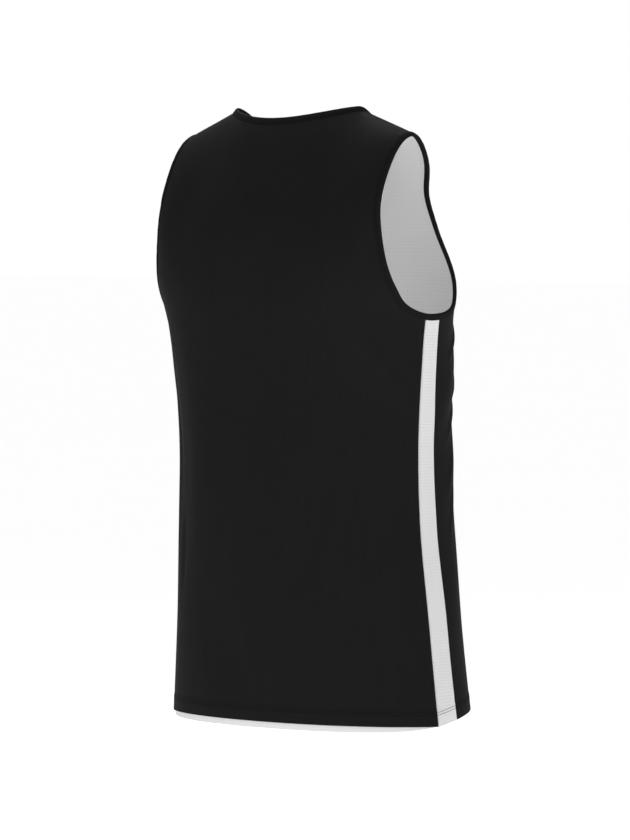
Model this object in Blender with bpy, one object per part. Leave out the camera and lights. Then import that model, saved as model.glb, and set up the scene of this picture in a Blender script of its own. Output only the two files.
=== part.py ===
"""A reversible basketball jersey, filled out as if worn.

Metres, +Z up. The wearer faces -Y, so the back of the garment is at +Y and the wearer's right at -X.
The origin lies midway between the two neck points, level with the bound edge above them, where the
wearer's shoulders hold the garment up.

The outer layer is black knit with a white strip down each side, the inner layer is white mesh, and
the neck and both armholes are bound. Every piece is a thin closed wall. All walls are laid on one
form: a stack of rounded body sections that is drawn in to a ridge along the shoulder seams.
"""

from collections import namedtuple

import bpy
import numpy as np

MM = 0.001

# ---- cloth -------------------------------------------------------------------------------------
OUTER_CLOTH = 1.2 * MM
INNER_CLOTH = 1.2 * MM
LAYER_GAP = 1.0 * MM  # between the outer and the inner layer
SEAM_GAP = 0.3 * MM  # between two pieces that are sewn together
BINDING_GAP = 0.4 * MM  # between a binding and the cloth edges in it, which twist along the seam

# ---- shoulders and neck ------------------------------------------------------------------------
NECK_HALF_WIDTH = 99 * MM
NECK_POINT_DROP = 5 * MM  # neck point below the origin
SHOULDER_HALF_WIDTH = 166 * MM
SHOULDER_DROP = 32 * MM  # shoulder tip below the origin
RIDGE_Y_NECK = 5 * MM
RIDGE_Y_TIP = -2 * MM
BACK_NECK_DROP = 15 * MM  # middle of the neckline below the neck points
FRONT_NECK_DROP = 106 * MM
BACK_NECK_ROUNDNESS = 0.85  # 2 is an oval, 1 a soft dip
FRONT_NECK_ROUNDNESS = 2.15
NECK_OVAL = np.radians(82)  # how much of its quarter oval each half of a neckline takes
NECK_GATHER = 1.8  # how much closer the columns lie towards the neck points
RIDGE_ROUNDNESS = 1.85  # 2 is a round ridge, 1 a sharp one
RIDGE_ROUNDNESS_NECK = 1.53  # close to the neck points, where the cloth turns over more sharply
RIDGE_NECK_REACH = 45 * MM
# height over which the back (1) and the front (-1) reach the body's full depth below the ridge, in
# the middle and at the shoulder tip
RISE = {1: (282 * MM, 122 * MM), -1: (197 * MM, 109 * MM)}

# ---- hem ---------------------------------------------------------------------------------------
HEM_BACK = -743 * MM
HEM_STRIP_BACK = -745 * MM  # at the back seam of a side strip
HEM_STRIP_FRONT = -739 * MM  # at its front seam
HEM_FRONT = -729 * MM
LINING_BELOW_BACK_HEM = 8 * MM
LINING_ABOVE_FRONT_HEM = 2 * MM

# ---- body sections -----------------------------------------------------------------------------
# height, half width, depth from the side line to the back and to the front, y of the side line
# (all mm), and squareness of the back and front quarters (2 is an ellipse)
Section = namedtuple("Section", "height half_width back front side_y square_back square_front")
SECTIONS = [
    Section(20, 200, 112, 118, 6, 2.15, 1.93),
    Section(-60, 194, 112, 122, 4, 2.15, 1.93),
    Section(-140, 197, 117, 128, 4, 2.15, 1.93),
    Section(-210, 205, 120, 140, -5, 2.15, 2.08),
    Section(-260, 193, 120, 136, -10, 2.15, 2.23),
    Section(-320, 185, 119, 139, -14, 2.15, 2.23),
    Section(-400, 179, 118, 145, -17, 2.15, 2.23),
    Section(-500, 180, 117, 146, -20, 2.15, 2.23),
    Section(-620, 191, 116, 143, -25, 2.15, 2.23),
    Section(-780, 207, 113, 149, -31, 2.15, 2.23),
]

# ---- armholes ----------------------------------------------------------------------------------
# the seam between panel and binding: its distance from the middle of the body at the back and at
# the front (mm). Below the last row it runs to the side line at ARMHOLE_BOTTOM.
ArmholeRow = namedtuple("ArmholeRow", "height back front")
ARMHOLE_BOTTOM = -256 * MM
ARMHOLE = [
    ArmholeRow(-65, 165.5, 159),
    ArmholeRow(-105, 165.5, 137),
    ArmholeRow(-145, 169, 144),
    ArmholeRow(-185, 174, 159),
    ArmholeRow(-220, 181, 172),
    ArmholeRow(-245, 187, 183),
]

# ---- side strips and bindings ------------------------------------------------------------------
# how far a strip's seams lie behind (1) and before (-1) the side line, at its top and at the hem
STRIP_REACH = {1: (11.5 * MM, 17.0 * MM), -1: (15.5 * MM, 19.5 * MM)}
ARMHOLE_BINDING_WIDTH = 6.5 * MM
NECK_BINDING_WIDTH = 7.0 * MM
NECK_STAND = 0.75  # how much the neck binding turns up from the cloth's own slope
BINDING_PROUD = 0.6 * MM  # how far the binding stands out from the cloth on both sides

# ---- folds -------------------------------------------------------------------------------------
# soft folds in the cloth: degrees round from the middle of the back towards the wearer's left,
# height of the middle (mm), length (mm), width (mm), how far it stands out (mm, negative is a
# trough), and lean (mm sideways for each mm up)
Fold = namedtuple("Fold", "around height length width out lean")
FOLDS = [
    Fold(58, -430, 440, 62, -3.0, 0.04),
    Fold(78, -470, 360, 60, 2.5, -0.03),
    Fold(-52, -150, 210, 58, -3.5, 0.10),
    Fold(53, -140, 190, 54, -3.0, -0.08),
    Fold(-64, -340, 170, 60, -3.0, 0.45),
    Fold(-110, -330, 160, 56, 3.5, -0.60),
    Fold(-116, -430, 190, 60, 3.0, -0.55),
    Fold(-108, -560, 220, 64, 2.5, -0.30),
    Fold(-36, -640, 190, 95, 2.5, 0.10),
    Fold(22, -630, 210, 110, -2.5, -0.06),
    Fold(112, -340, 180, 58, 3.5, 0.60),
    Fold(118, -480, 210, 66, -3.0, 0.45),
    Fold(152, -430, 330, 90, -3.0, 0.15),
    Fold(-158, -540, 340, 100, 3.0, -0.10),
]

# ---- fineness of the walls ---------------------------------------------------------------------
COLUMNS_NECK = 8  # on each half of a neckline
COLUMNS_SHOULDER = 6  # on each shoulder seam
ROWS_BODY = 12  # from the hem to the armhole
ROWS_ARMHOLE = 15  # from the armhole's bottom to the shoulder tip
COLUMNS_STRIP = 4

BLACK_KNIT = (0.014, 0.014, 0.015)
WHITE_MESH = (0.72, 0.72, 0.73)


def through_rows(heights, values, at):
    """A smooth curve through a table: cubic pieces whose slope at a row is the weighted mean of
    the slopes on either side of it."""
    order = np.argsort(heights)
    z = np.asarray(heights, float)[order]
    w = np.asarray(values, float)[order]
    at = np.clip(at, z[0], z[-1])
    gap = np.diff(z)
    slope = np.diff(w) / gap
    middle = (slope[:-1] * gap[1:] + slope[1:] * gap[:-1]) / (gap[:-1] + gap[1:])
    tangent = np.concatenate([slope[:1], middle, slope[-1:]])
    i = np.clip(np.searchsorted(z, at) - 1, 0, len(gap) - 1)
    s = (at - z[i]) / gap[i]
    rise = (2 * s**3 - 3 * s**2 + 1) * w[i] + (3 * s**2 - 2 * s**3) * w[i + 1]
    lean = (s**3 - 2 * s**2 + s) * tangent[i] + (s**3 - s**2) * tangent[i + 1]
    return rise + lean * gap[i]


def section_value(name, height):
    """One column of the section table, in metres, at any height."""
    heights = [row.height * MM for row in SECTIONS]
    return through_rows(heights, [getattr(row, name) * MM for row in SECTIONS], height)


def squareness(facing, height):
    name = "square_back" if facing > 0 else "square_front"
    return section_value(name, height) / MM


def depth_to(facing, height):
    return section_value("back" if facing > 0 else "front", height)


def angle_at_x(facing, x, height):
    """The section's angle, from 0 at the side to a quarter turn in the middle, where it is x wide."""
    share = np.clip(x / section_value("half_width", height), 0, 1)
    return np.arccos(share ** (squareness(facing, height) / 2))


def angle_at_offset(facing, offset, height):
    """The section's angle a given distance behind or before the side line."""
    share = np.clip(offset / depth_to(facing, height), 0, 1)
    return np.arcsin(share ** (squareness(facing, height) / 2))


def x_at_angle(facing, angle, height):
    return section_value("half_width", height) * np.cos(angle) ** (2 / squareness(facing, height))


def ridge(x):
    """y and z of the shoulder ridge at a distance x from the middle: straight from the neck point
    outwards, and a shallow arch between the two neck points."""
    arch = (x**2 - NECK_HALF_WIDTH**2) / (2 * NECK_HALF_WIDTH)
    beyond = np.where(x > NECK_HALF_WIDTH, x - NECK_HALF_WIDTH, arch)
    share = beyond / (SHOULDER_HALF_WIDTH - NECK_HALF_WIDTH)
    drop = NECK_POINT_DROP + (SHOULDER_DROP - NECK_POINT_DROP) * share
    return RIDGE_Y_NECK + (RIDGE_Y_TIP - RIDGE_Y_NECK) * share, -drop


def fold_out(x, y, height):
    """How far the folds push the cloth out: each is a bell across its line that fades to nothing
    at both of its ends."""
    around = np.degrees(np.arctan2(x, y - section_value("side_y", height)))
    out = np.zeros(np.broadcast(x, y, height).shape)
    for fold in FOLDS:
        up = (height - fold.height * MM) / (fold.length * MM / 2)
        turn = (around - fold.around + 180) % 360 - 180
        across = np.radians(turn) * section_value("half_width", height)
        across = across - fold.lean * (height - fold.height * MM)
        bell = np.exp(-((across / (fold.width * MM / 2)) ** 2))
        out = out + fold.out * MM * bell * np.clip(1 - up**2, 0, 1) ** 2
    return out


def form(facing, side, angle, height):
    """Points of the form: on the body section at that height, drawn in towards the shoulder ridge.
    facing is 1 for the back and -1 for the front, side 1 for the wearer's left and -1 for the right,
    and angle goes from 0 at the side line to a quarter turn in the middle."""
    power = 2 / squareness(facing, height)
    width = section_value("half_width", height)
    depth = depth_to(facing, height)
    x = width * np.cos(angle) ** power
    body_y = section_value("side_y", height) + facing * depth * np.sin(angle) ** power
    ridge_y, ridge_z = ridge(x)
    centre, tip = RISE[facing]
    rise = centre + (tip - centre) * np.clip(x / SHOULDER_HALF_WIDTH, 0, 1) ** 2
    below = np.clip((ridge_z - height) / rise, 0, 1)
    near_neck = np.exp(-(((x - NECK_HALF_WIDTH) / RIDGE_NECK_REACH) ** 2))
    roundness = RIDGE_ROUNDNESS + (RIDGE_ROUNDNESS_NECK - RIDGE_ROUNDNESS) * near_neck
    full = (1 - (1 - below) ** RIDGE_ROUNDNESS) ** (1 / roundness)
    ridge_y = ridge_y + facing * SEAM_GAP / 2
    y = ridge_y + (body_y - ridge_y) * full
    out = fold_out(side * x, y, height) * full
    push_x = np.cos(angle) ** (2 - power) / width
    push_y = np.sin(angle) ** (2 - power) / depth
    push = np.hypot(push_x, push_y)
    x = side * (x + out * push_x / push)
    y = y + facing * out * push_y / push
    return np.stack(np.broadcast_arrays(x, y, height), axis=-1)


def armhole_x(facing, height):
    """Distance of the armhole seam from the middle, from the side line up to the shoulder tip."""
    name = "back" if facing > 0 else "front"
    heights = [row.height * MM for row in ARMHOLE]
    values = [getattr(row, name) * MM for row in ARMHOLE]
    heights = [-SHOULDER_DROP] + heights + [ARMHOLE_BOTTOM]
    side = float(section_value("half_width", np.array(ARMHOLE_BOTTOM)))
    values = [SHOULDER_HALF_WIDTH] + values + [side]
    return through_rows(heights, values, height)


def armhole_height(share):
    """Height along the armhole seam, slow at both ends, where the seam turns over."""
    return ARMHOLE_BOTTOM + (-SHOULDER_DROP - ARMHOLE_BOTTOM) * (0.5 - 0.5 * np.cos(np.pi * share))


def strip_reach(facing, height):
    """How far a strip's back or front seam lies from the side line."""
    top, hem = STRIP_REACH[facing]
    share = (height - HEM_STRIP_BACK) / (ARMHOLE_BOTTOM - HEM_STRIP_BACK)
    return hem + (top - hem) * share


def strip_corner(facing, reach):
    """How far along the armhole seam it meets a side seam."""
    shares = np.linspace(0, 0.3, 301)
    heights = armhole_height(shares)
    angles = angle_at_x(facing, armhole_x(facing, heights), heights)
    seam = angle_at_offset(facing, reach(facing, heights), heights)
    return float(np.interp(0, angles - seam, shares))


class Panel:
    """A back or front of the garment as a function of two parameters. across runs from -1 at the
    wearer's right edge to 1 at the left. up runs from 0 at the hem to 1 at the bottom of the
    armhole and to 2 at the shoulder seam and neckline."""

    top = 2.0

    def __init__(self, facing, reach, hem_middle, hem_side):
        self.facing = facing
        self.turn = -facing
        self.reach = reach
        self.hem_middle = hem_middle
        self.hem_side = hem_side
        self.corner = strip_corner(facing, reach)
        self.neck_drop = BACK_NECK_DROP if facing > 0 else FRONT_NECK_DROP
        self.neck_roundness = BACK_NECK_ROUNDNESS if facing > 0 else FRONT_NECK_ROUNDNESS
        self.neck_share = COLUMNS_NECK / (COLUMNS_NECK + COLUMNS_SHOULDER)

    def top_edge(self, across):
        """x and z of the neckline, part of an oval, and of the shoulder seam beyond it, and how far
        along that seam they are."""
        from_point = 1 - np.clip(across / self.neck_share, 0, 1)
        turn = (1 - from_point**NECK_GATHER) * NECK_OVAL
        along = np.clip((across - self.neck_share) / (1 - self.neck_share), 0, 1)
        neck_x = NECK_HALF_WIDTH * np.sin(turn) / np.sin(NECK_OVAL)
        end = np.cos(NECK_OVAL) ** (2 / self.neck_roundness)
        dip = (np.cos(turn) ** (2 / self.neck_roundness) - end) / (1 - end)
        neck_z = -NECK_POINT_DROP - self.neck_drop * dip
        x = neck_x + (SHOULDER_HALF_WIDTH - NECK_HALF_WIDTH) * along
        return x, neck_z - (SHOULDER_DROP - NECK_POINT_DROP) * along, along

    def __call__(self, across, up):
        across, up = np.broadcast_arrays(np.asarray(across, float), np.asarray(up, float))
        side, across = np.sign(across), np.abs(across)
        below = np.clip(up, 0, 1)
        share = self.corner + (1 - self.corner) * np.clip(up - 1, 0, 1)
        corner_height = armhole_height(self.corner)
        seam_height = self.hem_side + (corner_height - self.hem_side) * below
        edge = np.where(up <= 1, seam_height, armhole_height(share))
        seam_angle = angle_at_offset(self.facing, self.reach(self.facing, edge), edge)
        hole_x = armhole_x(self.facing, edge)
        edge_angle = np.where(up <= 1, seam_angle, angle_at_x(self.facing, hole_x, edge))
        edge_x = x_at_angle(self.facing, edge_angle, edge)

        hem_bow = (self.hem_middle - self.hem_side) * (1 - across**4) * (1 - below)
        climb = np.clip((edge - corner_height) / (-SHOULDER_DROP - corner_height), 0, 1)
        top_x, top_z, along = self.top_edge(across)
        height = edge + hem_bow + (top_z + SHOULDER_DROP) * climb**1.5

        even = np.pi / 2 - across * (np.pi / 2 - edge_angle)
        narrowed = top_x * (1 + (edge_x / SHOULDER_HALF_WIDTH - 1) * along)
        gathered = angle_at_x(self.facing, narrowed, height)
        angle = even + (gathered - even) * climb**2 * (3 - 2 * climb)
        return form(self.facing, np.where(side < 0, -1, 1), angle, height)


class Strip:
    """A side strip as a function of two parameters. across runs from -1 at the front seam to 1 at
    the back seam, up from 0 at the hem to 1 at the armhole. side is -1 for the wearer's right."""

    top = 1.0

    def __init__(self, side):
        self.side = side
        self.turn = side
        self.corner = {
            facing: armhole_height(strip_corner(facing, strip_reach)) for facing in (1, -1)
        }

    def __call__(self, across, up):
        across, up = np.broadcast_arrays(np.asarray(across, float), np.asarray(up, float))
        corner = np.where(across > 0, self.corner[1], self.corner[-1])
        top = ARMHOLE_BOTTOM + (corner - ARMHOLE_BOTTOM) * across**2
        hem = HEM_STRIP_FRONT + (HEM_STRIP_BACK - HEM_STRIP_FRONT) * (across + 1) / 2
        height = hem + (top - hem) * up
        points = []
        for facing in (1, -1):
            offset = np.clip(across * facing, 0, 1) * (strip_reach(facing, height) - SEAM_GAP)
            angle = angle_at_offset(facing, offset, height)
            points.append(form(facing, self.side, angle, height))
        return np.where((across > 0)[..., None], points[0], points[1])


def unit(vectors):
    return vectors / np.linalg.norm(vectors, axis=-1, keepdims=True)


def frame_of(surface, across, up):
    """Points and outward unit normals of a surface. The normals come from short steps away from the
    middle and downwards, which stay inside its borders and off the corner at the neck point."""
    step = 1e-3
    half = np.where(np.asarray(across) < 0, -1.0, 1.0)
    near = half * np.minimum(np.abs(across), 1 - step)
    right = (surface(near + half * step, up) - surface(near, up)) * half[..., None]
    over = np.maximum(up, step)
    rise = surface(across, over) - surface(across, over - step)
    return surface(across, up), unit(np.cross(right, rise) * surface.turn)


def wall(surface, across, up, outer, inner):
    """A closed wall on a surface, from the depth outer to the depth inner below it: two grids of
    points joined along their border. The diagonals lean the same way on both faces."""
    across, up = np.meshgrid(across, up)
    points, normals = frame_of(surface, across, up)
    rows, columns = across.shape
    index = np.arange(rows * columns).reshape(rows, columns)
    a, b, c, d = index[:-1, :-1], index[:-1, 1:], index[1:, 1:], index[1:, :-1]
    rising = (across[:-1, :-1] + across[:-1, 1:] < 0)[..., None, None]
    one = np.stack([np.stack([a, b, c], -1), np.stack([a, c, d], -1)], -2)
    two = np.stack([np.stack([a, b, d], -1), np.stack([b, c, d], -1)], -2)
    face = np.where(rising, one, two).reshape(-1, 3)
    border = np.concatenate([index[0, :-1], index[:-1, -1], index[-1, :0:-1], index[:0:-1, 0]])
    after = np.roll(border, -1)
    count = rows * columns
    rim = np.concatenate(
        [
            np.stack([border, border + count, after + count], -1),
            np.stack([border, after + count, after], -1),
        ]
    )
    faces = np.concatenate([face, face[:, ::-1] + count, rim])
    vertices = np.concatenate([points - outer * normals, points - inner * normals])
    return vertices.reshape(-1, 3), faces


def seam_loop(points, normals, turn):
    """The frame round a closed seam: its points, the directions along it and the cloth's normals."""
    along = np.roll(points, -1, axis=0) - np.roll(points, 1, axis=0)
    return points, unit(along) * turn, normals


def joined(pieces):
    """Points and normals of several stretches of a loop, end to end."""
    return [np.concatenate(group) for group in zip(*pieces)]


def armhole_seam(side, back, front, strip):
    """Round one armhole: across the top of the side strip, up the back, and down the front."""
    bottom = frame_of(strip, np.linspace(-1, 1, COLUMNS_STRIP + 1), strip.top)
    climb = np.linspace(1, 2, ROWS_ARMHOLE + 1)
    rising = frame_of(back, side, climb[1:-1])
    falling = frame_of(front, side, climb[-2:0:-1])
    tips = [frame_of(panel, side, 2.0) for panel in (back, front)]
    tip = (np.mean([t[0] for t in tips], axis=0)[None], np.mean([t[1] for t in tips], axis=0)[None])
    return seam_loop(*joined([bottom, rising, tip, falling]), -side)


def neck_seam(back, front):
    """Round the neck: along the back neckline to the wearer's left, and back along the front."""
    neck = back.neck_share * np.linspace(-1, 1, 2 * COLUMNS_NECK + 1)
    behind = frame_of(back, neck[1:-1], 2.0)
    before = frame_of(front, neck[-2:0:-1], 2.0)
    points = []
    for across in (neck[-1], neck[0]):
        ends = [frame_of(panel, across, 2.0) for panel in (back, front)]
        points.append([np.mean([end[k] for end in ends], axis=0)[None] for k in (0, 1)])
    return seam_loop(*joined([behind, points[0], before, points[1]]), 1)


def binding(seam, width, stand):
    """A folded strip that closes both layers along a seam: one rounded profile carried round it. At
    the seam it lies on the cloth's own normals. From there to its middle it turns up by its stand."""
    points, along, normals = seam
    beyond = unit(np.cross(along, normals))
    inner = OUTER_CLOTH + LAYER_GAP + INNER_CLOTH + BINDING_PROUD
    middle = (inner - BINDING_PROUD) / 2
    # across, from the seam to the free edge, and out from the outer cloth's face
    profile = [
        (BINDING_GAP, BINDING_PROUD / 2),
        (width * 0.45, BINDING_PROUD),
        (width * 0.85, BINDING_PROUD / 2),
        (width, -middle),
        (width * 0.85, -inner + BINDING_PROUD / 2),
        (width * 0.45, -inner),
        (BINDING_GAP, -inner + BINDING_PROUD / 2),
    ]
    rings = []
    for across, out in profile:
        share = np.clip((across - BINDING_GAP) / (width * 0.45 - BINDING_GAP), 0, 1)
        edge = unit(np.cross(along, np.cross(beyond + (0, 0, stand * share), along)))
        outward = unit(normals + (np.cross(edge, along) - normals) * share)
        rings.append(points + edge * across + outward * out)
    rings = np.stack(rings, axis=1)
    count, sides = rings.shape[:2]
    index = np.arange(count * sides).reshape(count, sides)
    after, over = np.roll(index, -1, axis=0), np.roll(index, -1, axis=1)
    corner = np.roll(after, -1, axis=1)
    faces = np.concatenate(
        [
            np.stack([index, after, corner], -1).reshape(-1, 3),
            np.stack([index, corner, over], -1).reshape(-1, 3),
        ]
    )
    return rings.reshape(-1, 3), faces


def volume(vertices, faces):
    a, b, c = (vertices[faces[:, k]] for k in range(3))
    return np.sum(a * np.cross(b, c)) / 6


def cloth_material(name, colour, roughness):
    material = bpy.data.materials.new(name)
    material.use_nodes = True
    shader = material.node_tree.nodes["Principled BSDF"]
    shader.inputs["Base Color"].default_value = (*colour, 1.0)
    shader.inputs["Roughness"].default_value = roughness
    shader.inputs["Metallic"].default_value = 0.0
    return material


def add_piece(name, solid, colour, roughness, parent):
    """One sub-part: a closed mesh with its faces outwards, shaded smooth, in its own material."""
    vertices, faces = solid
    if volume(vertices, faces) < 0:
        faces = faces[:, ::-1]
    mesh = bpy.data.meshes.new(name)
    mesh.from_pydata(vertices.tolist(), [], faces.tolist())
    mesh.validate()
    mesh.shade_smooth()
    mesh.set_sharp_from_angle(angle=np.radians(50))
    mesh.materials.append(cloth_material(name + "_cloth", colour, roughness))
    piece = bpy.data.objects.new(name, mesh)
    piece.parent = parent
    bpy.context.collection.objects.link(piece)


def panel_columns(panel):
    """Column places across a panel, with one at each neck point."""
    neck = np.linspace(0, panel.neck_share, COLUMNS_NECK + 1)
    shoulder = np.linspace(panel.neck_share, 1, COLUMNS_SHOULDER + 1)
    half = np.concatenate([neck, shoulder[1:]])
    return np.concatenate([-half[:0:-1], half])


def lining_rows(corner):
    """Row places up a lining. At the armhole they meet the points of the strip's top edge, and
    above its corner those of the outer panel's edge."""
    under = corner * np.linspace(0, 1, COLUMNS_STRIP // 2 + 1)
    over = corner + (1 - corner) * np.linspace(0, 1, ROWS_ARMHOLE + 1)
    return np.concatenate([np.linspace(0, 1, ROWS_BODY + 1), 1 + under[1:], 1 + over[1:]])


def seam_at_side_line(facing, height):
    """The lining has no side strips: its back and front meet at the side line."""
    return np.full_like(height, SEAM_GAP / 2)


def main():
    for old in list(bpy.data.objects):
        bpy.data.objects.remove(old, do_unlink=True)
    jersey = bpy.data.objects.new("jersey", None)
    bpy.context.collection.objects.link(jersey)

    back = Panel(1, strip_reach, HEM_BACK, HEM_STRIP_BACK)
    front = Panel(-1, strip_reach, HEM_FRONT, HEM_STRIP_FRONT)
    strips = {"right": Strip(-1), "left": Strip(1)}
    body_rows = np.linspace(0, 1, ROWS_BODY + 1)
    rows = np.concatenate([body_rows, np.linspace(1, 2, ROWS_ARMHOLE + 1)[1:]])
    for name, panel in (("back_panel", back), ("front_panel", front)):
        solid = wall(panel, panel_columns(panel), rows, 0, OUTER_CLOTH)
        add_piece(name, solid, BLACK_KNIT, 0.62, jersey)

    lining_depth = OUTER_CLOTH + LAYER_GAP
    hem_side = (HEM_STRIP_BACK + HEM_STRIP_FRONT) / 2
    low_back = Panel(1, seam_at_side_line, HEM_BACK - LINING_BELOW_BACK_HEM, hem_side)
    high_front = Panel(-1, seam_at_side_line, HEM_FRONT + LINING_ABOVE_FRONT_HEM, hem_side)
    for name, panel, outer in (("lining_back", low_back, back), ("lining_front", high_front, front)):
        rows = lining_rows(outer.corner)
        solid = wall(panel, panel_columns(panel), rows, lining_depth, lining_depth + INNER_CLOTH)
        add_piece(name, solid, WHITE_MESH, 0.8, jersey)

    for word, strip in strips.items():
        across = np.linspace(-1, 1, COLUMNS_STRIP + 1)
        solid = wall(strip, across, body_rows, 0, OUTER_CLOTH)
        add_piece("side_panel_" + word, solid, WHITE_MESH, 0.8, jersey)
        seam = armhole_seam(strip.side, back, front, strip)
        solid = binding(seam, ARMHOLE_BINDING_WIDTH, 0)
        add_piece("armhole_binding_" + word, solid, BLACK_KNIT, 0.55, jersey)
    solid = binding(neck_seam(back, front), NECK_BINDING_WIDTH, NECK_STAND)
    add_piece("neck_binding", solid, BLACK_KNIT, 0.55, jersey)


main()
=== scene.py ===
"""A reversible basketball jersey, filled out as if worn: black knit outside, white mesh inside.

Metres, +Z up. The wearer faces -Y, so the back of the garment is at +Y and the wearer's right at -X.
The origin lies midway between the two neck points, level with the bound edge above them.

Every piece of cloth is a thin closed wall on one form: a stack of rounded body sections that is
drawn in to a ridge along the shoulder seams. The tables that shape the form are those of the solids,
and the finer creases, the turned-up hems, the folded bindings and the stitches are added here.
"""

import math
from collections import namedtuple

import bpy
import numpy as np
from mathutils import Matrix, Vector


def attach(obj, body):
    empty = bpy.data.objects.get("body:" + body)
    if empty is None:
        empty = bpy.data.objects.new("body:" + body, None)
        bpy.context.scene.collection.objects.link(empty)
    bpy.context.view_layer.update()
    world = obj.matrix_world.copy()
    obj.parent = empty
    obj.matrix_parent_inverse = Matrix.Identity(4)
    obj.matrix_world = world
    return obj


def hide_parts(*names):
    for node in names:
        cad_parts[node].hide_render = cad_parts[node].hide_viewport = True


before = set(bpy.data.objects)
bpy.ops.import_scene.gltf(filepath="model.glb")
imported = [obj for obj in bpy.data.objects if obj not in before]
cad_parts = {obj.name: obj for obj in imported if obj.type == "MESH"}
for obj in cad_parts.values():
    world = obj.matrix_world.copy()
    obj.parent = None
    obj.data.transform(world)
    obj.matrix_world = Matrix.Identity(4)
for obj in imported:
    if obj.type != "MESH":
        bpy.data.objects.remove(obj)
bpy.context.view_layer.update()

MM = 0.001
BACK, FRONT = 1, -1  # which way a panel faces
LEFT, RIGHT = 1, -1  # the wearer's sides

# ---- camera, seen from behind and from the wearer's right ----
CAMERA_AROUND = 218.64  # degrees, 0 is in front of the garment and 90 at the wearer's left
CAMERA_ABOVE = 2.27
CAMERA_DISTANCE = 6.25
CAMERA_LENS = 219.6
AIM_HEIGHT = -0.381
AIM_RIGHT = 0.017

# ---- studio ----
FLOOR_HEIGHT = -1.15
FLOOR_HALF = 60.0
FLOOR_WHITE = 0.9
FLOOR_GLOW = 0.7
SKY_SEEN = 1.0  # what the camera sees behind the garment
SKY_LIGHT = 0.32  # what the sky gives to the garment

# ---- layers, as depths below the form's surface ----
SOLID_CLOTH = 1.2 * MM  # thickness of each layer's solid
LAYER_GAP = 1.0 * MM
SEAM_GAP = 0.3 * MM
KNIT = 0.55 * MM  # real thickness of the black knit
MESH = 0.50 * MM  # and of the white mesh
LINING_DEPTH = SOLID_CLOTH + LAYER_GAP

# ---- shoulders and neck ----
NECK_HALF_WIDTH = 99 * MM
NECK_POINT_DROP = 5 * MM
SHOULDER_HALF_WIDTH = 166 * MM
SHOULDER_DROP = 32 * MM
RIDGE_Y_NECK = 5 * MM
RIDGE_Y_TIP = -2 * MM
NECK_DROP = {BACK: 15 * MM, FRONT: 106 * MM}
NECK_ROUNDNESS = {BACK: 0.85, FRONT: 2.15}
NECK_OVAL = np.radians(82)  # how far round its oval half a neckline runs
NECK_GATHER = 1.8  # draws the columns together towards the neck point
RIDGE_ROUNDNESS = 1.85
RIDGE_ROUNDNESS_NECK = 1.53
RIDGE_NECK_REACH = 45 * MM
# how far below the ridge the body's full depth is reached, in the middle and at the shoulder tip
RISE = {BACK: (282 * MM, 122 * MM), FRONT: (197 * MM, 109 * MM)}
NECK_SHARE = 4 / 7  # of each half of a panel's top edge

# ---- hem ----
HEM_BACK = -743 * MM
HEM_STRIP_BACK = -745 * MM
HEM_STRIP_FRONT = -739 * MM
HEM_FRONT = -729 * MM
LINING_BELOW_BACK_HEM = 8 * MM
LINING_ABOVE_FRONT_HEM = 2 * MM
HEM_DEPTH = 20 * MM  # how far the cloth is turned up
HEM_NEEDLES = (14.0 * MM, 17.2 * MM)  # the two rows of stitches above the edge
HEM_FINE = HEM_DEPTH + 4 * MM  # the stretch above the edge that has fine rows

# ---- body sections ----
# height, half width, depth from the side line to the back and to the front, y of the side line
# (all mm), and squareness of the back and front quarters (2 is an ellipse)
Section = namedtuple("Section", "height half_width back front side_y square_back square_front")
SECTIONS = [
    Section(20, 200, 112, 118, 6, 2.15, 1.93),
    Section(-60, 194, 112, 122, 4, 2.15, 1.93),
    Section(-140, 197, 117, 128, 4, 2.15, 1.93),
    Section(-210, 205, 120, 140, -5, 2.15, 2.08),
    Section(-260, 193, 120, 136, -10, 2.15, 2.23),
    Section(-320, 185, 119, 139, -14, 2.15, 2.23),
    Section(-400, 179, 118, 145, -17, 2.15, 2.23),
    Section(-500, 180, 117, 146, -20, 2.15, 2.23),
    Section(-620, 191, 116, 143, -25, 2.15, 2.23),
    Section(-780, 207, 113, 149, -31, 2.15, 2.23),
]

# ---- armholes ----
ArmholeRow = namedtuple("ArmholeRow", "height back front")
ARMHOLE_BOTTOM = -256 * MM
ARMHOLE = [
    ArmholeRow(-65, 165.5, 159),
    ArmholeRow(-105, 165.5, 137),
    ArmholeRow(-145, 169, 144),
    ArmholeRow(-185, 174, 159),
    ArmholeRow(-220, 181, 172),
    ArmholeRow(-245, 187, 183),
]

# ---- side strips and bindings ----
# how far a strip's seams lie behind and before the side line, at its top and at the hem
STRIP_REACH = {BACK: (11.5 * MM, 17.0 * MM), FRONT: (15.5 * MM, 19.5 * MM)}
ARMHOLE_BINDING_WIDTH = 6.5 * MM
NECK_BINDING_WIDTH = 7.0 * MM
NECK_STAND = 0.75  # how steeply the neck binding turns up
BINDING_CLOTH = 0.36 * MM
BINDING_OVERLAP = 1.2 * MM  # how far it covers the cloth that it closes
BINDING_TUCK = 3.5 * MM  # turned under along both of its edges

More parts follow.
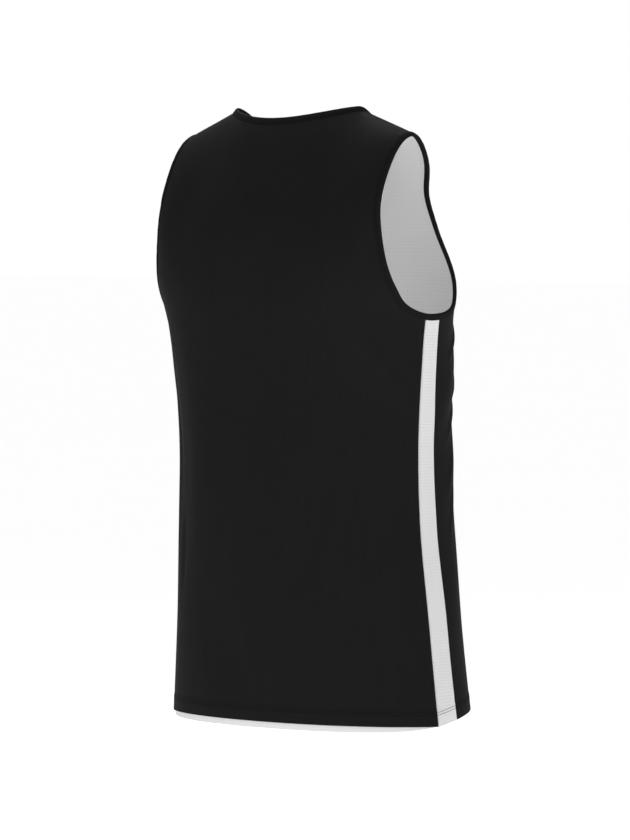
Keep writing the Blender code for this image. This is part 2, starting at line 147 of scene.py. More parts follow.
# ---- folds of the form ----
# degrees round from the middle of the back towards the wearer's left, height of the middle (mm),
# length (mm), width (mm), how far it stands out (mm, negative is a trough), and lean (mm sideways
# for each mm up). The first table is that of the solids, the second has the finer creases.
Fold = namedtuple("Fold", "around height length width out lean")
FOLDS = [
    Fold(58, -430, 440, 62, -3.0, 0.04),
    Fold(78, -470, 360, 60, 2.5, -0.03),
    Fold(-52, -150, 210, 58, -3.5, 0.10),
    Fold(53, -140, 190, 54, -3.0, -0.08),
    Fold(-64, -340, 170, 60, -3.0, 0.45),
    Fold(-110, -330, 160, 56, 3.5, -0.60),
    Fold(-116, -430, 190, 60, 3.0, -0.55),
    Fold(-108, -560, 220, 64, 2.5, -0.30),
    Fold(-36, -640, 190, 95, 2.5, 0.10),
    Fold(22, -630, 210, 110, -2.5, -0.06),
    Fold(112, -340, 180, 58, 3.5, 0.60),
    Fold(118, -480, 210, 66, -3.0, 0.45),
    Fold(152, -430, 330, 90, -3.0, 0.15),
    Fold(-158, -540, 340, 100, 3.0, -0.10),
]
CREASES = [
    # front of the wearer's right side
    Fold(-111, -285, 66, 10, 2.4, -0.90),
    Fold(-114, -336, 62, 9, 2.2, -0.55),
    Fold(-113, -377, 74, 10, 2.4, -0.75),
    Fold(-112, -430, 96, 11, 2.6, -0.50),
    Fold(-110, -489, 92, 11, 2.0, -0.35),
    Fold(-118, -405, 120, 18, -1.8, -0.60),
    Fold(-122, -305, 84, 15, -1.7, -0.85),
    # under the wearer's right arm, on the back
    Fold(-73, -305, 110, 20, -1.4, 0.55),
    Fold(-66, -290, 86, 15, 0.8, 0.42),
    Fold(-79, -350, 120, 18, 0.8, 0.20),
    # back, towards the wearer's left
    Fold(66, -400, 260, 22, -2.2, 0.03),
    Fold(60, -545, 150, 17, -1.9, -0.04),
    Fold(71, -520, 210, 16, 1.4, 0.02),
    Fold(76, -375, 90, 13, -1.4, 0.15),
    Fold(68, -310, 100, 18, 1.0, -0.35),
    Fold(74, -288, 80, 14, -0.9, -0.50),
    # middle of the back
    Fold(-12, -200, 200, 46, -0.9, 0.06),
    Fold(18, -230, 230, 54, -0.8, -0.05),
    Fold(-38, -610, 170, 26, 0.7, 0.05),
    Fold(-28, -660, 140, 24, -0.7, -0.03),
    Fold(6, -650, 160, 36, 0.7, 0.03),
    Fold(38, -640, 150, 30, -0.8, 0.06),
    # front
    Fold(110, -290, 66, 15, 1.2, 0.85),
    Fold(113, -345, 74, 15, 1.1, 0.60),
    Fold(115, -402, 96, 17, -1.2, 0.66),
    Fold(108, -465, 104, 16, 1.1, 0.40),
    Fold(104, -560, 130, 20, -0.9, 0.20),
    Fold(150, -250, 140, 30, 1.1, 0.35),
    Fold(-152, -262, 150, 28, 1.0, -0.38),
    Fold(172, -330, 210, 40, -1.0, 0.05),
    Fold(-170, -640, 150, 32, 1.0, 0.04),
    Fold(160, -655, 140, 28, -0.9, -0.08),
    Fold(-140, -610, 170, 30, -1.0, -0.12),
    Fold(134, -560, 190, 30, 0.9, 0.10),
]

# ---- fineness of the walls ----
OUTER_STEP = 4.0 * MM
LINING_STEP = 5.0 * MM
STRIP_STEP = 1.8 * MM
EDGE_STEP = 1.0 * MM  # beside seams and along hems
BINDING_STEP = 2.0 * MM
SHARP_ANGLE = math.radians(48)  # an edge that bends more than this isn't shaded smooth
# rough lengths, along which the steps are counted
HALF_PANEL = 270 * MM
HEM_TO_ARMHOLE = 490 * MM
ARMHOLE_TO_SHOULDER = 255 * MM
STRIP_WIDTH = 30 * MM
STRIP_LENGTH = 487 * MM


# ==== the form ====


def through_rows(heights, values, at):
    """A smooth curve through a table: cubic pieces whose slope at a row is the weighted mean of
    the slopes on either side of it."""
    order = np.argsort(heights)
    z = np.asarray(heights, float)[order]
    w = np.asarray(values, float)[order]
    at = np.clip(at, z[0], z[-1])
    gap = np.diff(z)
    slope = np.diff(w) / gap
    middle = (slope[:-1] * gap[1:] + slope[1:] * gap[:-1]) / (gap[:-1] + gap[1:])
    tangent = np.concatenate([slope[:1], middle, slope[-1:]])
    i = np.clip(np.searchsorted(z, at) - 1, 0, len(gap) - 1)
    s = (at - z[i]) / gap[i]
    rise = (2 * s**3 - 3 * s**2 + 1) * w[i] + (3 * s**2 - 2 * s**3) * w[i + 1]
    lean = (s**3 - 2 * s**2 + s) * tangent[i] + (s**3 - s**2) * tangent[i + 1]
    return rise + lean * gap[i]


def section_value(name, height):
    """One column of the section table, in metres, at any height."""
    heights = [row.height * MM for row in SECTIONS]
    return through_rows(heights, [getattr(row, name) * MM for row in SECTIONS], height)


def column_of(facing):
    """The name of a facing's column in the tables."""
    return "back" if facing == BACK else "front"


def squareness(facing, height):
    """The exponent of a section's quarter."""
    return section_value("square_" + column_of(facing), height) / MM


def depth_to(facing, height):
    """The section's depth from the side line to its middle."""
    return section_value(column_of(facing), height)


def angle_at_x(facing, x, height):
    """The section's angle, from 0 at the side to a quarter turn in the middle, where it is x wide."""
    share = np.clip(x / section_value("half_width", height), 0, 1)
    return np.arccos(share ** (squareness(facing, height) / 2))


def angle_at_offset(facing, offset, height):
    """The section's angle a given distance behind or before the side line."""
    share = np.clip(offset / depth_to(facing, height), 0, 1)
    return np.arcsin(share ** (squareness(facing, height) / 2))


def x_at_angle(facing, angle, height):
    """The section's x at an angle: the half width times a power of the cosine."""
    return section_value("half_width", height) * np.cos(angle) ** (2 / squareness(facing, height))


def ridge(x):
    """y and z of the shoulder ridge at a distance x from the middle: straight from the neck point
    outwards, and a shallow arch between the two neck points."""
    arch = (x**2 - NECK_HALF_WIDTH**2) / (2 * NECK_HALF_WIDTH)
    beyond = np.where(x > NECK_HALF_WIDTH, x - NECK_HALF_WIDTH, arch)
    share = beyond / (SHOULDER_HALF_WIDTH - NECK_HALF_WIDTH)
    drop = NECK_POINT_DROP + (SHOULDER_DROP - NECK_POINT_DROP) * share
    return RIDGE_Y_NECK + (RIDGE_Y_TIP - RIDGE_Y_NECK) * share, -drop


def fold_out(x, y, height):
    """How far the folds push the cloth out: each is a bell across its line that fades to nothing
    at both of its ends."""
    around = np.degrees(np.arctan2(x, y - section_value("side_y", height)))
    half_width = section_value("half_width", height)
    out = np.zeros(np.broadcast(x, y, height).shape)
    for fold in FOLDS + CREASES:
        up = (height - fold.height * MM) / (fold.length * MM / 2)
        turn = (around - fold.around + 180) % 360 - 180
        across = np.radians(turn) * half_width - fold.lean * (height - fold.height * MM)
        bell = np.exp(-((across / (fold.width * MM / 2)) ** 2))
        out = out + fold.out * MM * bell * np.clip(1 - up**2, 0, 1) ** 2
    return out


def form(facing, side, angle, height):
    """Points of the form: a body section's x is the half width times a power of the angle's cosine,
    its y the depth times the same power of the sine, and below the shoulder ridge y grows from the
    ridge to the section along a rounded curve."""
    power = 2 / squareness(facing, height)
    width = section_value("half_width", height)
    depth = depth_to(facing, height)
    x = width * np.cos(angle) ** power
    body_y = section_value("side_y", height) + facing * depth * np.sin(angle) ** power
    ridge_y, ridge_z = ridge(x)
    centre, tip = RISE[facing]
    rise = centre + (tip - centre) * np.clip(x / SHOULDER_HALF_WIDTH, 0, 1) ** 2
    below = np.clip((ridge_z - height) / rise, 0, 1)
    near_neck = np.exp(-(((x - NECK_HALF_WIDTH) / RIDGE_NECK_REACH) ** 2))
    roundness = RIDGE_ROUNDNESS + (RIDGE_ROUNDNESS_NECK - RIDGE_ROUNDNESS) * near_neck
    full = (1 - (1 - below) ** RIDGE_ROUNDNESS) ** (1 / roundness)
    ridge_y = ridge_y + facing * SEAM_GAP / 2
    y = ridge_y + (body_y - ridge_y) * full
    out = fold_out(side * x, y, height) * full
    push_x = np.cos(angle) ** (2 - power) / width
    push_y = np.sin(angle) ** (2 - power) / depth
    push = np.hypot(push_x, push_y)
    x = side * (x + out * push_x / push)
    y = y + facing * out * push_y / push
    return np.stack(np.broadcast_arrays(x, y, height), axis=-1)


def armhole_x(facing, height):
    """Distance of the armhole seam from the middle, from the side line up to the shoulder tip."""
    side = float(section_value("half_width", np.array(ARMHOLE_BOTTOM)))
    heights = [row.height * MM for row in ARMHOLE]
    values = [getattr(row, column_of(facing)) * MM for row in ARMHOLE]
    heights = [-SHOULDER_DROP, *heights, ARMHOLE_BOTTOM]
    return through_rows(heights, [SHOULDER_HALF_WIDTH, *values, side], height)


def armhole_height(share):
    """Height along the armhole seam, slow at both ends, where the seam turns over."""
    return ARMHOLE_BOTTOM + (-SHOULDER_DROP - ARMHOLE_BOTTOM) * (0.5 - 0.5 * np.cos(np.pi * share))


def strip_reach(facing, height):
    """How far a strip's back or front seam lies from the side line."""
    top, hem = STRIP_REACH[facing]
    share = (height - HEM_STRIP_BACK) / (ARMHOLE_BOTTOM - HEM_STRIP_BACK)
    return hem + (top - hem) * share


def seam_at_side_line(facing, height):
    """The lining has no side strips: its back and front meet at the side line."""
    return np.full_like(height, SEAM_GAP / 2)


def strip_corner(facing, reach):
    """How far along the armhole seam it meets a side seam."""
    shares = np.linspace(0, 0.3, 301)
    heights = armhole_height(shares)
    angles = angle_at_x(facing, armhole_x(facing, heights), heights)
    seam = angle_at_offset(facing, reach(facing, heights), heights)
    return float(np.interp(0, angles - seam, shares))


class Panel:
    """A back or front of the garment as a function of two parameters. across runs from -1 at the
    wearer's right edge to 1 at the left. up runs from 0 at the hem to 1 at the bottom of the
    armhole and to 2 at the shoulder seam and neckline."""

    top = 2.0

    def __init__(self, facing, reach, hem_middle, hem_side):
        self.facing = facing
        self.turn = -facing
        self.reach = reach
        self.hem_middle = hem_middle
        self.hem_side = hem_side
        self.corner = strip_corner(facing, reach)

    def top_edge(self, across):
        """x and z of the neckline, part of an oval, and of the shoulder seam beyond it, and how far
        along that seam they are."""
        from_point = 1 - np.clip(across / NECK_SHARE, 0, 1)
        turn = (1 - from_point**NECK_GATHER) * NECK_OVAL
        along = np.clip((across - NECK_SHARE) / (1 - NECK_SHARE), 0, 1)
        neck_x = NECK_HALF_WIDTH * np.sin(turn) / np.sin(NECK_OVAL)
        power = 2 / NECK_ROUNDNESS[self.facing]
        end = np.cos(NECK_OVAL) ** power
        dip = (np.cos(turn) ** power - end) / (1 - end)
        neck_z = -NECK_POINT_DROP - NECK_DROP[self.facing] * dip
        x = neck_x + (SHOULDER_HALF_WIDTH - NECK_HALF_WIDTH) * along
        return x, neck_z - (SHOULDER_DROP - NECK_POINT_DROP) * along, along

    def __call__(self, across, up):
        """The angle spreads evenly from the middle to the seam below the armhole and gathers to
        the neckline and shoulder above it; the height follows the seam and bows at hem and neck."""
        across, up = np.broadcast_arrays(np.asarray(across, float), np.asarray(up, float))
        side, across = np.sign(across), np.abs(across)
        below = np.clip(up, 0, 1)
        share = self.corner + (1 - self.corner) * np.clip(up - 1, 0, 1)
        corner_height = armhole_height(self.corner)
        seam_height = self.hem_side + (corner_height - self.hem_side) * below
        edge = np.where(up <= 1, seam_height, armhole_height(share))
        seam_angle = angle_at_offset(self.facing, self.reach(self.facing, edge), edge)
        hole_x = armhole_x(self.facing, edge)
        edge_angle = np.where(up <= 1, seam_angle, angle_at_x(self.facing, hole_x, edge))
        edge_x = x_at_angle(self.facing, edge_angle, edge)

        hem_bow = (self.hem_middle - self.hem_side) * (1 - across**4) * (1 - below)
        climb = np.clip((edge - corner_height) / (-SHOULDER_DROP - corner_height), 0, 1)
        top_x, top_z, along = self.top_edge(across)
        height = edge + hem_bow + (top_z + SHOULDER_DROP) * climb**1.5

        even = np.pi / 2 - across * (np.pi / 2 - edge_angle)
        narrowed = top_x * (1 + (edge_x / SHOULDER_HALF_WIDTH - 1) * along)
        gathered = angle_at_x(self.facing, narrowed, height)
        angle = even + (gathered - even) * climb**2 * (3 - 2 * climb)
        return form(self.facing, np.where(side < 0, -1, 1), angle, height)


class Strip:
    """A side strip as a function of two parameters. across runs from -1 at the front seam to 1 at
    the back seam, up from 0 at the hem to 1 at the armhole."""

    top = 1.0

    def __init__(self, side):
        self.side = side
        self.turn = side
        corners = [armhole_height(strip_corner(facing, strip_reach)) for facing in (BACK, FRONT)]
        self.corner = dict(zip((BACK, FRONT), corners))

    def __call__(self, across, up):
        """The height runs from the hem to the armhole's dip, and the angle is that of the place
        between the two seams."""
        across, up = np.broadcast_arrays(np.asarray(across, float), np.asarray(up, float))
        corner = np.where(across > 0, self.corner[BACK], self.corner[FRONT])
        top = ARMHOLE_BOTTOM + (corner - ARMHOLE_BOTTOM) * across**2
        hem = HEM_STRIP_FRONT + (HEM_STRIP_BACK - HEM_STRIP_FRONT) * (across + 1) / 2
        height = hem + (top - hem) * up
        points = []
        for facing in (BACK, FRONT):
            offset = np.clip(across * facing, 0, 1) * (strip_reach(facing, height) - SEAM_GAP)
            angle = angle_at_offset(facing, offset, height)
            points.append(form(facing, self.side, angle, height))
        return np.where((across > 0)[..., None], points[0], points[1])


def unit(vectors):
    """Vectors drawn out or in to a length of 1."""
    return vectors / np.linalg.norm(vectors, axis=-1, keepdims=True)


def frame_of(surface, across, up):
    """Points and outward unit normals of a surface. The normals come from short steps away from the
    middle and downwards, which stay inside its borders and off the corner at the neck point."""
    step = 1e-3
    across, up = np.broadcast_arrays(np.asarray(across, float), np.asarray(up, float))
    half = np.where(across < 0, -1.0, 1.0)
    near = half * np.minimum(np.abs(across), 1 - step)
    right = (surface(near + half * step, up) - surface(near, up)) * half[..., None]
    over = np.maximum(up, step)
    rise = surface(across, over) - surface(across, over - step)
    return surface(across, up), unit(np.cross(right, rise) * surface.turn)


# ==== meshes ====


def places(length, step, start=0.0, end=0.0, fine=EDGE_STEP):
    """Shares from 0 to 1 along a length: wide steps, and fine ones near its start and its end."""
    wide = np.linspace(start, length - end, round((length - start - end) / step) + 1)
    head = np.linspace(0, start, round(start / fine) + 1)[:-1]
    tail = np.linspace(length - end, length, round(end / fine) + 1)[1:]
    return np.concatenate([head, wide, tail]) / length


def bell(distance, width):
    """1 at a distance of 0, fading on both sides."""
    return np.exp(-((distance / width) ** 2))


def step_down(distance, edge, soft):
    """1 closer than edge, 0 beyond it, with a soft change over a short way."""
    share = np.clip((distance - edge) / soft + 0.5, 0, 1)
    return 1 - share**2 * (3 - 2 * share)


class Cloth:
    """A grid of places on a surface: points, normals, the cloth's own coordinates in metres (u is
    the way round from the middle column, v the way up the slope), and distances from its borders.
    in_hem is 1 where the cloth is turned up, and below_armhole 1 where its sides are sewn."""

    def __init__(self, surface, across, up):
        self.across, self.up = np.meshgrid(across, up)
        self.points, self.normals = frame_of(surface, self.across, self.up)
        round_step = np.diff(self.points, axis=1)
        level = np.hypot(round_step[..., 0], round_step[..., 1])
        u = np.pad(np.cumsum(level, axis=1), ((0, 0), (1, 0)))
        middle = len(across) // 2
        slope = np.sqrt(np.clip(1 - self.normals[..., 2] ** 2, 0.05, 1))
        climb = np.diff(self.points[..., 2], axis=0) * 2 / (slope[1:] + slope[:-1])
        rise = np.pad(np.cumsum(climb, axis=0), ((1, 0), (0, 0)))
        self.uv = np.stack([u - u[:, middle : middle + 1], self.points[:1, :, 2] + rise], axis=-1)
        self.from_sides = np.minimum(u, u[:, -1:] - u)
        self.from_hem = rise
        self.from_top = rise[-1:] - rise
        self.in_hem = step_down(rise, HEM_DEPTH, EDGE_SOFT)
        self.below_armhole = step_down(self.up, 1.0, 0.02)


def shell(cloth, outer, inner):
    """A closed thin wall: the outer face lies `outer` below the form and the inner one `inner`, and
    a strip round the border joins them. Returns its points, its four-sided faces and their uv."""
    count = cloth.across.size
    index = np.arange(count).reshape(cloth.across.shape)
    face = np.stack([index[:-1, :-1], index[:-1, 1:], index[1:, 1:], index[1:, :-1]], -1)
    face = face.reshape(-1, 4)
    border = np.concatenate([index[0, :-1], index[:-1, -1], index[-1, :0:-1], index[:0:-1, 0]])
    after = np.roll(border, -1)
    rim = np.stack([border, border + count, after + count, after], -1)
    quads = np.concatenate([face, face[:, ::-1] + count, rim])
    depths = [np.broadcast_to(depth, index.shape)[..., None] for depth in (outer, inner)]
    walls = [(cloth.points - depth * cloth.normals).reshape(-1, 3) for depth in depths]
    uv = cloth.uv.reshape(-1, 2)
    return np.concatenate(walls), quads, np.concatenate([uv, uv])[quads]


def add_mesh(name, vertices, quads, uv, material, plain=None):
    """One piece: a mesh of four-sided faces, turned outwards, with a uv map in metres. plain is 1
    where a knit has no holes, beside its seams and along its hem."""
    a, b, c, d = np.moveaxis(vertices[quads], 1, 0)
    volume = np.sum(a * (np.cross(b, c) + np.cross(c, d)))
    if volume < 0:
        quads, uv = quads[:, ::-1], uv[:, ::-1]
    mesh = bpy.data.meshes.new(name)
    mesh.vertices.add(len(vertices))
    mesh.vertices.foreach_set("co", vertices.astype(np.float32).ravel())
    mesh.loops.add(quads.size)
    mesh.loops.foreach_set("vertex_index", quads.astype(np.int32).ravel())
    mesh.polygons.add(len(quads))
    mesh.polygons.foreach_set("loop_start", np.arange(0, quads.size, 4, dtype=np.int32))
    layer = mesh.uv_layers.new(name="cloth")
    layer.uv.foreach_set("vector", uv.astype(np.float32).ravel())
    if plain is not None:
        attribute = mesh.attributes.new("plain", "FLOAT", "POINT")
        attribute.data.foreach_set("value", plain.astype(np.float32).ravel())
    mesh.update(calc_edges=True)
    mesh.validate()
    mesh.shade_smooth()
    mesh.set_sharp_from_angle(angle=SHARP_ANGLE)
    mesh.materials.append(material)
    piece = bpy.data.objects.new(name, mesh)
    bpy.context.collection.objects.link(piece)
    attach(piece, "root")
    return piece


# ==== materials ====


class Wire:
    """A socket that gives a number. Arithmetic on it adds Math nodes."""

    def __init__(self, paint, socket):
        self.paint = paint
        self.socket = socket

    def math(self, operation, *values):
        return self.paint.node("ShaderNodeMath", {"operation": operation}, dict(enumerate(values)))

    def __add__(self, other):
        return self.math("ADD", self, other)

    def __sub__(self, other):
        return self.math("SUBTRACT", self, other)

    def __rsub__(self, other):
        return self.math("SUBTRACT", other, self)

    def __mul__(self, other):
        return self.math("MULTIPLY", self, other)

    def __pow__(self, other):
        return self.math("POWER", self, other)

    def wave(self, length):
        """A sine of 0 to 1 that repeats after a length."""
        return self.math("SINE", self * (2 * math.pi / length)) * 0.5 + 0.5

    def centred(self, length):
        """The distance from the middle of the repeat that it lies in."""
        return (self.math("FRACT", self * (1 / length)) - 0.5) * length

    def fade(self, low, high):
        """0 up to low and 1 from high, with a soft change between."""
        sockets = {"Value": self, "From Min": low, "From Max": high}
        return self.paint.node("ShaderNodeMapRange", {"interpolation_type": "SMOOTHSTEP"}, sockets)


class Paint:
    """A material and its node tree."""

    def __init__(self, name, roughness, specular, sheen=0.0, sheen_roughness=0.5):
        self.material = bpy.data.materials.new(name)
        self.material.use_nodes = True
        self.tree = self.material.node_tree
        self.shader = self.tree.nodes["Principled BSDF"]
        self.shader.inputs["Roughness"].default_value = roughness
        self.shader.inputs["Specular IOR Level"].default_value = specular
        self.shader.inputs["Sheen Weight"].default_value = sheen
        self.shader.inputs["Sheen Roughness"].default_value = sheen_roughness

    def node(self, kind, settings, sockets, output=0):
        """Adds a node: its settings first, then the values or links of its inputs."""
        node = self.tree.nodes.new(kind)
        for name, value in settings.items():
            setattr(node, name, value)
        for name, value in sockets.items():
            self.feed(node.inputs[name], value)
        return Wire(self, node.outputs[output])

    def feed(self, socket, value):
        """Links a wire to a socket, or sets the socket to a value."""
        if isinstance(value, Wire):
            self.tree.links.new(value.socket, socket)
        else:
            socket.default_value = value

    def cloth(self):
        """The cloth's own coordinates, in metres: round, up."""
        place = self.node("ShaderNodeUVMap", {"uv_map": "cloth"}, {})
        return [self.node("ShaderNodeSeparateXYZ", {}, {0: place}, output) for output in (0, 1)]

    def noise(self, scale, detail=2.0, stretch=(1, 1, 1)):
        """Soft random variation of 0 to 1 over the object, with its repeats per metre."""
        place = self.node("ShaderNodeTexCoord", {}, {}, "Object")
        place = self.node("ShaderNodeMapping", {}, {"Vector": place, "Scale": stretch})
        return self.node("ShaderNodeTexNoise", {}, {"Vector": place, "Scale": scale, "Detail": detail})

    def between(self, share, first, second):
        """A colour from first, where share is 0, to second, where it is 1."""
        ends = [end if isinstance(end, Wire) else (*end, 1.0) for end in (first, second)]
        return self.node("ShaderNodeMix", {"data_type": "RGBA"}, {0: share, 6: ends[0], 7: ends[1]}, 2)

    def finish(self, colour, height=None, depth=0.0):
        """Links the colour, and a relief of the given depth in metres."""
        self.feed(self.shader.inputs["Base Color"], colour)
        if height is not None:
            bump = {"Strength": 1.0, "Distance": depth, "Height": height}
            self.feed(self.shader.inputs["Normal"], self.node("ShaderNodeBump", {}, bump))
        return self.material


# the deep and the light tone of each knit, and of each thread its painted groove shade and its own
# tone
BLACK_TONES = ((0.0100, 0.0100, 0.0106), (0.0150, 0.0150, 0.0157))
BINDING_TONES = ((0.0095, 0.0095, 0.0101), (0.0135, 0.0135, 0.0142))
BLACK_THREAD_SHADE_AND_TONE = ((0.004, 0.004, 0.0045), (0.010, 0.010, 0.0105))
WHITE_THREAD_SHADE_AND_TONE = ((0.60, 0.60, 0.61), (0.85, 0.85, 0.85))
# the light and the grey tone of each mesh, and the painted shade of the cloth seen through its eyelets
LINING_TONES_AND_EYELET_SHADE = ((0.790, 0.790, 0.795), (0.710, 0.710, 0.717), (0.560, 0.560, 0.570))
STRIP_TONES_AND_EYELET_SHADE = ((0.740, 0.740, 0.745), (0.665, 0.665, 0.672), (0.450, 0.450, 0.460))

WALE = 0.95 * MM  # one column of black knit stitches
COURSE = 0.75 * MM  # one row of them
KNIT_DEPTH = 0.12 * MM
BINDING_RIB = 0.8 * MM
BINDING_ROW = 0.6 * MM
BINDING_DEPTH = 0.10 * MM
# from eyelet to eyelet along a row, and from row to row
STRIP_NET = (3.7 * MM, 3.72 * MM)
LINING_NET = (5.4 * MM, 4.6 * MM)
EYELET_RADIUS = 0.62 * MM
EYELET_DEPTH = 0.22 * MM
EYELET_WANDER = 0.25 * MM  # how far the knit shifts from place to place
THREAD_TWIST = 0.45 * MM
THREAD_DEPTH = 0.05 * MM


def black_knit():
    """Fine warp knit: rounded wales with rows of stitches across them, and faint upright streaks."""
    paint = Paint("black_knit", roughness=0.50, specular=0.007)
    u, v = paint.cloth()
    wales = u.wave(WALE)
    courses = (v + u.wave(WALE) * (COURSE * 0.5)).wave(COURSE)
    streaks = paint.noise(260.0, 2.0, (1.0, 1.0, 0.06))
    cloudy = paint.noise(14.0, 3.0)
    share = streaks * 0.5 + cloudy * 0.3 + wales * 0.2
    colour = paint.between(share, *BLACK_TONES)
    return paint.finish(colour, wales * 0.6 + courses * 0.4 + streaks * 0.8, KNIT_DEPTH)


def binding_knit():
    """The same black yarn in a tighter knit, ribbed across the strip."""
    paint = Paint("black_binding", roughness=0.70, specular=0.01)
    u, v = paint.cloth()
    ribs = u.wave(BINDING_RIB)
    rows = v.wave(BINDING_ROW)
    soft = paint.noise(180.0)
    colour = paint.between(soft * 0.7 + ribs * 0.3, *BINDING_TONES)
    return paint.finish(colour, ribs * 0.7 + rows * 0.3 + soft * 0.5, BINDING_DEPTH)


def eyelet_mesh(name, net, light, grey, painted_shade):
    """White knit with a small eyelet in each cell of an even net, a ridge along each row of them, and
    fine courses between. The eyelets are dents with painted shade in them, in place of open holes that
    would show the cloth behind in shade. It is plain beside seams and along hems."""
    net_round, net_up = net
    paint = Paint(name, roughness=0.82, specular=0.25, sheen=0.10, sheen_roughness=0.6)
    u, v = paint.cloth()
    plain = paint.node("ShaderNodeAttribute", {"attribute_name": "plain"}, {}, "Fac")
    wander = (paint.noise(90.0) - 0.5) * EYELET_WANDER
    across = (u + wander).centred(net_round)
    along = (v + wander).centred(net_up)
    distance = (across * across + along * along * 0.7) ** 0.5
    hole = (1.0 - distance.fade(EYELET_RADIUS * 0.55, EYELET_RADIUS * 1.25)) * (1.0 - plain)
    ridges = v.wave(net_up)
    stitches = u.wave(net_round / 4) * 0.5 + v.wave(net_up / 5) * 0.5
    cloudy = paint.noise(22.0, 3.0)
    shade = ridges * 0.06 * (1.0 - plain) + stitches * 0.2 + cloudy * 0.3
    colour = paint.between(shade, light, grey)
    height = stitches * 0.25 + ridges * 0.06 - hole * 0.8
    # painted shade: each eyelet is darkened to the third tone, for the shaded cloth that an open hole
    # would show
    return paint.finish(paint.between(hole, colour, painted_shade), height, EYELET_DEPTH)


def thread(name, painted_shade, light):
    """Two-ply sewing thread: slanting bands along each stitch, with painted shade in the grooves
    between the plies.
    """
    paint = Paint(name, roughness=0.75, specular=0.05)
    u, v = paint.cloth()
    twist = (u + v * 0.8).wave(THREAD_TWIST)
    # painted shade: the colour follows the twist's relief, darker down in the grooves between the
    # plies
    return paint.finish(paint.between(twist, painted_shade, light), twist, THREAD_DEPTH)


# ==== the pieces ====

SEAM_DIP = 0.9 * MM  # how far the cloth turns in at a seam
SEAM_DIP_WIDTH = 0.9 * MM
STRIP_DIP_WIDTH = 0.6 * MM
LINING_DIP_OUT = 0.3 * MM  # how far the lining's outer face turns out at a seam
LINING_DIP_IN = 0.5 * MM  # and its inner face
ALLOWANCE = 8.0 * MM  # the folded cloth behind a seam
ALLOWANCE_FOLD = 0.4 * MM  # how much thicker it makes the wall
NEEDLE_DIP = 0.18 * MM
NEEDLE_DIP_WIDTH = 0.9 * MM
HEM_FOLD = 0.35 * MM  # how much thicker a hem is on each face
PIPE_OUT = 0.40 * MM  # the raised edge of a side strip
PIPE_FROM_SEAM = 1.1 * MM
PIPE_WIDTH = 0.55 * MM
EDGE_SOFT = 1.0 * MM  # the way over which a turned edge ends
PLAIN_EDGE = BINDING_OVERLAP + 1.2 * MM  # mesh without eyelets beside a binding
PLAIN_PIPE = 1.8 * MM  # and beside a strip's seams
BINDING_LIFT = 0.05 * MM  # air between the cloth and a binding's tuck
BINDING_AIR = 0.03 * MM  # and between the tuck and the ply over it
BINDING_CROWN = 0.12 * MM  # how far that ply bulges
BINDING_GROOVE = 0.16 * MM  # how deep its stitches draw it in
BINDING_GROOVE_WIDTH = 0.4 * MM
BINDING_NOSE = 2.3 * MM  # how far its free edge rounds off
NEEDLE_FROM_SEAM = 0.35 * MM  # where its stitches run
PUCKER = 0.05 * MM  # waves of two lengths round it
PUCKER_LENGTHS = (11.0 * MM, 17.7 * MM)


def hem_relief(from_hem):
    """How far a hem stands out: a step at the top of the turned-up cloth, less two needle lines."""
    relief = HEM_FOLD * step_down(from_hem, HEM_DEPTH, 2 * EDGE_SOFT)
    for needle in HEM_NEEDLES:
        relief = relief - NEEDLE_DIP * bell(from_hem - needle, NEEDLE_DIP_WIDTH)
    return relief


def panel_columns(step, edge):
    """Column places across a panel, with one at each neck point and fine ones at the side seams."""
    neck = places(HALF_PANEL * NECK_SHARE, step) * NECK_SHARE
    side = places(HALF_PANEL * (1 - NECK_SHARE), step, 0.0, edge)
    half = np.concatenate([neck, NECK_SHARE + side[1:] * (1 - NECK_SHARE)])
    return np.concatenate([-half[:0:-1], half])


def panel_rows(step):
    """Row places up a panel: fine ones along the hem and at the shoulder seam."""
    body = places(HEM_TO_ARMHOLE, step, HEM_FINE)
    over = places(ARMHOLE_TO_SHOULDER, step, 0.0, 4 * MM)
    return np.concatenate([body, 1 + over[1:]])


def seam_turns(cloth):
    """1 on a panel's side and shoulder seams, fading over a short way into the cloth."""
    side = bell(cloth.from_sides, SEAM_DIP_WIDTH) * cloth.below_armhole
    on_shoulder = np.abs(cloth.across) >= NECK_SHARE
    return np.maximum(side, bell(cloth.from_top, SEAM_DIP_WIDTH) * on_shoulder)


def outer_panel(name, panel, material):
    """A panel of black knit. Its face turns in at the side and shoulder seams, and its edges at
    the armholes and the neckline lie flat under the bindings."""
    cloth = Cloth(panel, panel_columns(OUTER_STEP, 6 * MM), panel_rows(OUTER_STEP))
    outer = SEAM_DIP * seam_turns(cloth) - hem_relief(cloth.from_hem)
    folded = step_down(cloth.from_sides, ALLOWANCE, 1.5 * EDGE_SOFT) * cloth.below_armhole
    inner = KNIT + HEM_FOLD * cloth.in_hem + ALLOWANCE_FOLD * folded
    inner = np.maximum(inner, outer + KNIT)
    return add_mesh(name, *shell(cloth, outer, inner), material)


def lining_panel(name, panel, material):
    """A panel of the white inner layer. Its good face is the inner one, which turns out at the
    side and shoulder seams."""
    cloth = Cloth(panel, panel_columns(LINING_STEP, 5 * MM), panel_rows(LINING_STEP))
    turns = seam_turns(cloth)
    outer = LINING_DEPTH - LINING_DIP_OUT * turns
    inner = LINING_DEPTH + MESH + hem_relief(cloth.from_hem) - LINING_DIP_IN * turns
    sides = step_down(cloth.from_sides, PLAIN_EDGE, EDGE_SOFT)
    top = step_down(cloth.from_top, PLAIN_EDGE, EDGE_SOFT)
    plain = np.maximum(np.maximum(sides, top), cloth.in_hem)
    return add_mesh(name, *shell(cloth, outer, inner), material, np.stack([plain, plain]))


